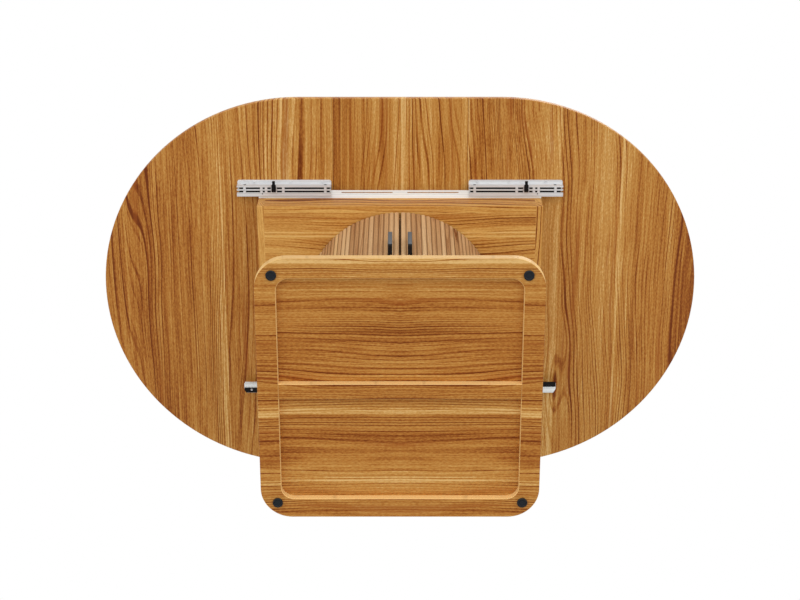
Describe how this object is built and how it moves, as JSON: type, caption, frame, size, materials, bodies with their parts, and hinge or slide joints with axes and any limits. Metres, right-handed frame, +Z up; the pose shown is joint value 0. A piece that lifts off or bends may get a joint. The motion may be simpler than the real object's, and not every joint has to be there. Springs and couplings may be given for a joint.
{
  "type": "butterfly leaf table",
  "caption": "Oval extending dining table with a folding leaf in a shallow well, on a reeded round cabinet pedestal with doors and a square base.",
  "frame": {"origin": "on the floor under the centre of the top", "axes": "+X along the extended top, -Y towards the cabinet doors, +Z up"},
  "size_m": [1.7998, 1.2, 0.76],
  "materials": {
    "top_wood": "satin clear lacquer",
    "box_wood": "satin clear lacquer",
    "base_wood": "satin clear lacquer",
    "cabinet_wood": "satin clear lacquer",
    "reeded_wood": "satin clear lacquer",
    "dowel_wood": "satin clear lacquer",
    "aluminium": "satin anodised",
    "steel": "zinc plated",
    "black_metal": "matt black powder coat",
    "black_plastic": "moulded",
    "brass": "turned"
  },
  "bodies": {
    "frame": {"base_rim": "base_wood", "base_rib": "base_wood", "base_board": "base_wood", "foot_pads": "black_plastic", "foot_screws": "steel", "cabinet_floor": "cabinet_wood", "cabinet_top": "cabinet_wood", "cabinet_shelf": "cabinet_wood", "shelf_pins": "steel", "floor_screws": "steel", "pedestal_shell": "reeded_wood", "pivot_bushes": "black_plastic", "magnet_catches": "black_plastic", "box_side_right": "box_wood", "box_side_left": "box_wood", "box_front": "box_wood", "box_rear": "box_wood", "box_bottom": "box_wood", "box_dowels": "dowel_wood", "box_bolts": "steel", "bolt_nuts": "steel", "rail_front": "aluminium", "rail_rear": "aluminium", "rail_screws": "steel"},
    "left_door": {"door_left": "reeded_wood", "door_pins_left": "steel", "handle_left": "black_metal", "handle_screws_left": "steel", "strike_left": "steel"},
    "left_half": {"top_left": "top_wood", "runner_front_left": "aluminium", "runner_rear_left": "aluminium", "runner_rivets_left": "steel", "glides_left": "black_plastic", "latch_pins_left": "black_metal", "end_block_left": "black_plastic", "runner_screws_left": "steel"},
    "latch_front_left": {"latch_front_left": "black_plastic"},
    "latch_rear_left": {"latch_rear_left": "black_plastic"},
    "right_door": {"door_right": "reeded_wood", "door_pins_right": "steel", "handle_right": "black_metal", "handle_screws_right": "steel", "strike_right": "steel"},
    "right_half": {"top_right": "top_wood", "runner_front_right": "aluminium", "runner_rear_right": "aluminium", "runner_rivets_right": "steel", "glides_right": "black_plastic", "latch_pins_right": "black_metal", "end_block_right": "black_plastic", "runner_screws_right": "steel"},
    "latch_front_right": {"latch_front_right": "black_plastic"},
    "latch_rear_right": {"latch_rear_right": "black_plastic"},
    "leaf_front_panel": {"leaf_front": "top_wood", "leaf_barrels_front": "brass"},
    "leaf_rear_panel": {"leaf_rear": "top_wood", "leaf_barrels_rear": "brass"}
  },
  "joints": [
    {"name": "left_half_slide", "type": "slide", "parent": "frame", "child": "left_half", "axis": [-1, 0, 0], "range_m": [0, 0.04]},
    {"name": "right_half_slide", "type": "slide", "parent": "frame", "child": "right_half", "axis": [1, 0, 0], "range_m": [0, 0.04]},
    {"name": "leaf_lift", "type": "slide", "parent": "frame", "child": "leaf_front_panel", "axis": [0, 0, 1], "range_m": [0, 0.045]},
    {"name": "leaf_fold", "type": "hinge", "parent": "leaf_front_panel", "child": "leaf_rear_panel", "pos_m": [0, 0, 0.76025], "axis": [1, 0, 0], "range_deg": [0, 180]},
    {"name": "left_door_hinge", "type": "hinge", "parent": "frame", "child": "left_door", "pos_m": [-0.2558, -0.09819, 0.3], "axis": [0, 0, -1], "range_deg": [0, 100]},
    {"name": "right_door_hinge", "type": "hinge", "parent": "frame", "child": "right_door", "pos_m": [0.2558, -0.09819, 0.3], "axis": [0, 0, 1], "range_deg": [0, 100]},
    {"name": "latch_front_left_turn", "type": "hinge", "parent": "left_half", "child": "latch_front_left", "pos_m": [-0.375, -0.3327, 0.711], "axis": [0, 0, -1], "range_deg": [0, 40]},
    {"name": "latch_rear_left_turn", "type": "hinge", "parent": "left_half", "child": "latch_rear_left", "pos_m": [-0.375, 0.3327, 0.711], "axis": [0, 0, 1], "range_deg": [0, 40]},
    {"name": "latch_front_right_turn", "type": "hinge", "parent": "right_half", "child": "latch_front_right", "pos_m": [0.375, -0.3327, 0.711], "axis": [0, 0, 1], "range_deg": [0, 40]},
    {"name": "latch_rear_right_turn", "type": "hinge", "parent": "right_half", "child": "latch_rear_right", "pos_m": [0.375, 0.3327, 0.711], "axis": [0, 0, -1], "range_deg": [0, 40]}
  ]
}
